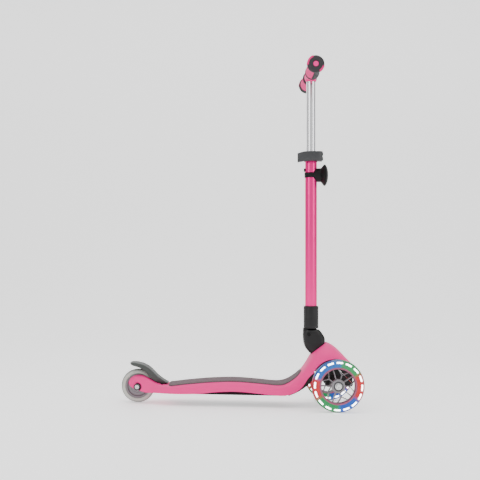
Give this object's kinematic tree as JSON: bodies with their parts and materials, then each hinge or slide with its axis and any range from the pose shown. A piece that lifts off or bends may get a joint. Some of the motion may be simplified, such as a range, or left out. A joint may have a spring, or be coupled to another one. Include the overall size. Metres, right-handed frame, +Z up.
{
  "type": "kick scooter",
  "caption": "Child's lean-to-steer kick scooter with light-up front wheels, a rear wheel under a foot brake, and a folding column with a height-adjustable T-bar",
  "frame": {"origin": "on the floor, under the middle of the scooter's box", "axes": "+X towards the front wheels, +Y to the rider's left, +Z up"},
  "size_m": [0.5662, 0.28, 0.8085],
  "materials": {
    "pink_plastic": "satin moulded pink plastic",
    "pink_anodised": "pink anodised, satin brushed",
    "silver_tube": "bright satin",
    "black_plastic": "satin black",
    "dark_grey_plastic": "satin dark grey",
    "brake_plastic": "textured dark grey",
    "grip_rubber": "soft charcoal rubber",
    "mat_rubber": "textured warm grey rubber",
    "clear_tyre": "clear cast polyurethane",
    "light_strip": "translucent light ring in red, green and blue",
    "wheel_core": "smoky grey moulded plastic",
    "steel": "zinc plated",
    "bell_plastic": "satin black"
  },
  "bodies": {
    "chassis": {"deck_shell": "pink_plastic", "deck_mat": "mat_rubber", "floor_plate": "black_plastic", "floor_screw_rear": "steel", "floor_screw_front": "steel", "nose_liner": "black_plastic", "kingpin": "steel", "kingpin_nut": "steel", "pivot_housing": "black_plastic", "fold_knuckle": "black_plastic", "knuckle_bolt": "steel", "fold_pin": "steel", "fold_lever_pin": "steel", "rear_axle_bolt": "steel", "rear_axle_nut": "steel", "brake_pin": "steel", "brake_spring": "steel"},
    "steering_truck": {"truck_carrier": "black_plastic", "front_axle_bolt_left": "steel", "front_axle_bolt_right": "steel", "centring_spring_left": "steel", "centring_spring_right": "steel"},
    "front_wheel_left": {"front_tyre_left": "clear_tyre", "light_strip_left": "light_strip", "front_core_left": "wheel_core", "front_bearing_outer_left": "steel", "front_bearing_inner_left": "steel"},
    "front_wheel_right": {"front_tyre_right": "clear_tyre", "light_strip_right": "light_strip", "front_core_right": "wheel_core", "front_bearing_outer_right": "steel", "front_bearing_inner_right": "steel"},
    "rear_wheel": {"rear_tyre": "clear_tyre", "rear_core": "wheel_core", "rear_bearing_left": "steel", "rear_bearing_right": "steel"},
    "brake": {"rear_brake": "brake_plastic"},
    "release_lever": {"fold_lever": "black_plastic"},
    "column": {"column_sleeve": "black_plastic", "outer_tube": "pink_anodised", "tube_bush": "black_plastic", "clamp_collar": "dark_grey_plastic", "clamp_bolt": "steel", "clamp_pin": "steel", "bell_strap": "bell_plastic", "bell_base": "bell_plastic"},
    "height_button": {"height_button": "black_plastic"},
    "clamp_lever": {"clamp_lever": "dark_grey_plastic"},
    "bell_cap": {"bell_cap": "bell_plastic"},
    "handlebar": {"inner_tube": "silver_tube", "handlebar_tee": "pink_plastic", "grip_left": "grip_rubber", "grip_right": "grip_rubber", "grip_insert_left": "pink_plastic", "grip_insert_right": "pink_plastic", "end_cap_left": "pink_plastic", "end_cap_right": "pink_plastic"}
  },
  "joints": [
    {"name": "column_fold", "type": "hinge", "parent": "chassis", "child": "column", "pos_m": [0.161, 0, 0.171], "axis": [0, -1, 0], "range_deg": [0, 90]},
    {"name": "height_slide", "type": "slide", "parent": "column", "child": "handlebar", "axis": [-0.0203, 0, 0.9998], "range_m": [-0.15, 0]},
    {"name": "clamp_lever_swing", "type": "hinge", "parent": "column", "child": "clamp_lever", "pos_m": [0.18042, -0.0172, 0.59531], "axis": [-0.0203, 0, 0.9998], "range_deg": [0, 110]},
    {"name": "height_button_press", "type": "slide", "parent": "column", "child": "height_button", "axis": [0.9998, 0, 0.0203], "range_m": [0, 0.0025], "stiffness_N_per_m": 600, "springref_m": -0.002},
    {"name": "bell_cap_twist", "type": "hinge", "parent": "column", "child": "bell_cap", "pos_m": [0.15982, 0, 0.55089], "axis": [0.9998, 0, 0.0203], "range_deg": [0, 40], "stiffness_Nm_per_rad": 0.06, "springref_deg": -4.98},
    {"name": "release_lever_press", "type": "hinge", "parent": "chassis", "child": "release_lever", "pos_m": [0.1945, 0, 0.153], "axis": [0, -1, 0], "range_deg": [0, 4], "stiffness_Nm_per_rad": 0.4, "springref_deg": -8.02},
    {"name": "truck_steer", "type": "hinge", "parent": "chassis", "child": "steering_truck", "pos_m": [0.2145, 0, 0.0885], "axis": [0.7071, 0, 0.7071], "range_deg": [-12, 12], "stiffness_Nm_per_rad": 25},
    {"name": "front_wheel_left_spin", "type": "hinge", "parent": "steering_truck", "child": "front_wheel_left", "pos_m": [0.2226, 0.11, 0.0605], "axis": [0, 1, 0], "continuous": true},
    {"name": "front_wheel_right_spin", "type": "hinge", "parent": "steering_truck", "child": "front_wheel_right", "pos_m": [0.2226, -0.11, 0.0605], "axis": [0, 1, 0], "continuous": true},
    {"name": "rear_wheel_spin", "type": "hinge", "parent": "chassis", "child": "rear_wheel", "pos_m": [-0.2431, 0, 0.04], "axis": [0, 1, 0], "continuous": true},
    {"name": "brake_press", "type": "hinge", "parent": "chassis", "child": "brake", "pos_m": [-0.185, 0, 0.047], "axis": [0, -1, 0], "range_deg": [0, 2.6], "stiffness_Nm_per_rad": 20, "springref_deg": -2.98}
  ]
}
